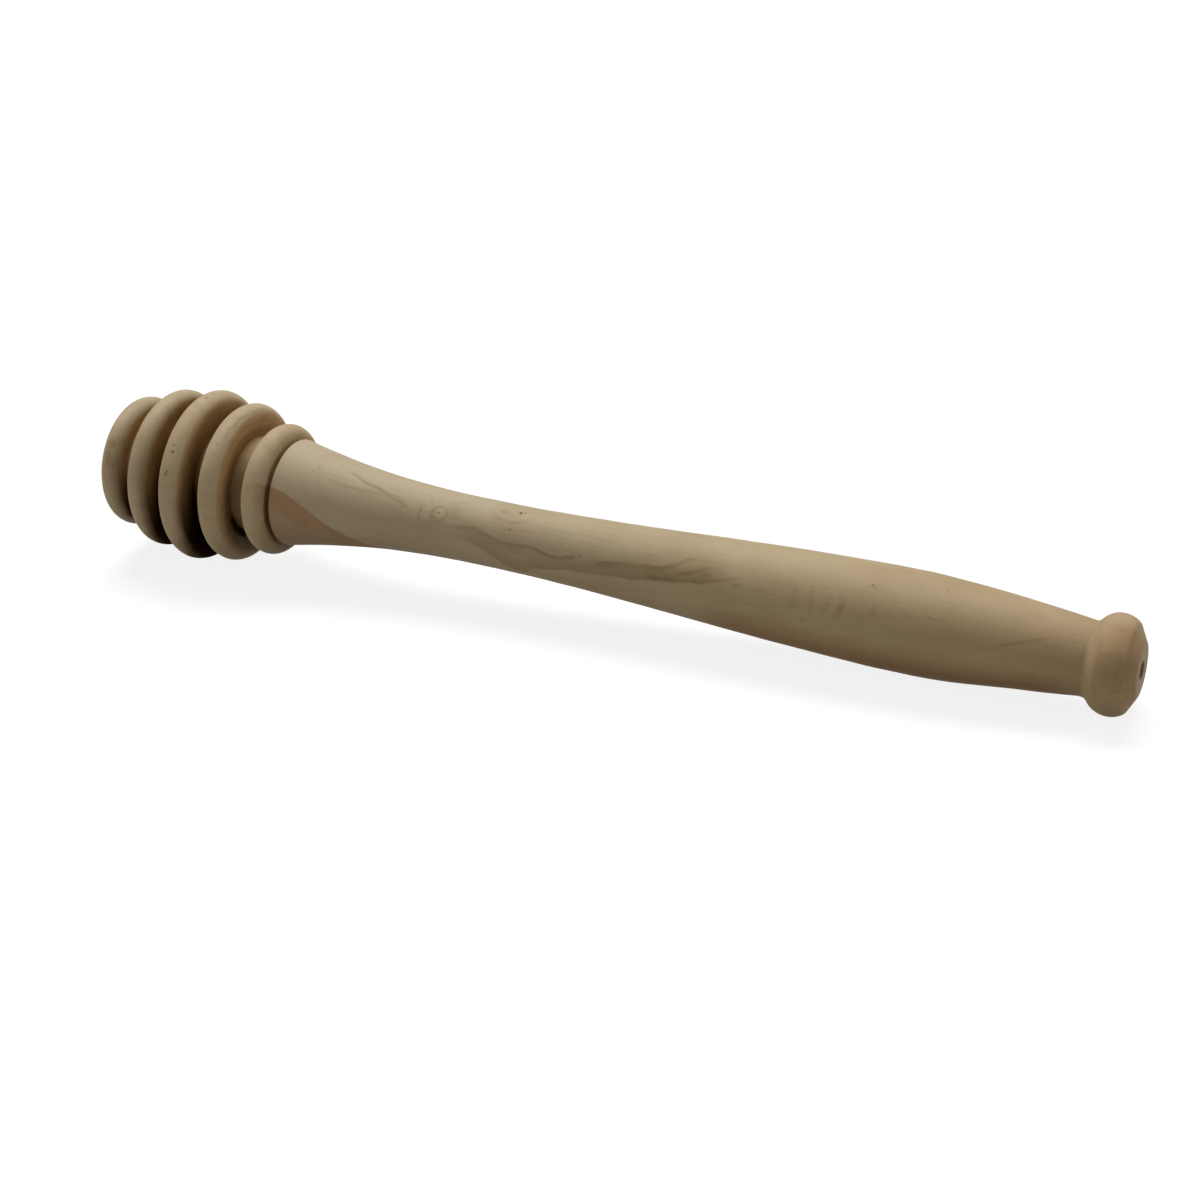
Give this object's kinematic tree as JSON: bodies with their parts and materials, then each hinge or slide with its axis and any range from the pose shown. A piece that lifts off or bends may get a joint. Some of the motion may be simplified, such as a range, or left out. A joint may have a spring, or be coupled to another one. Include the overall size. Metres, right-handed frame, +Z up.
{
  "type": "honey dipper",
  "caption": "Turned wooden honey dipper with a grooved barrel-shaped head, a flared neck, a swelling grip and a rounded knob.",
  "frame": {"origin": "under the middle of the dipper's length, level with the bottom of the widest ring", "axes": "+X along the turning axis from the grooved head to the knob, +Z up, so the dipper lies on its side"},
  "size_m": [0.18, 0.03, 0.03],
  "materials": {
    "wood": "bare, finely sanded"
  },
  "bodies": {
    "root": {"dipper": "wood"}
  },
  "joints": []
}
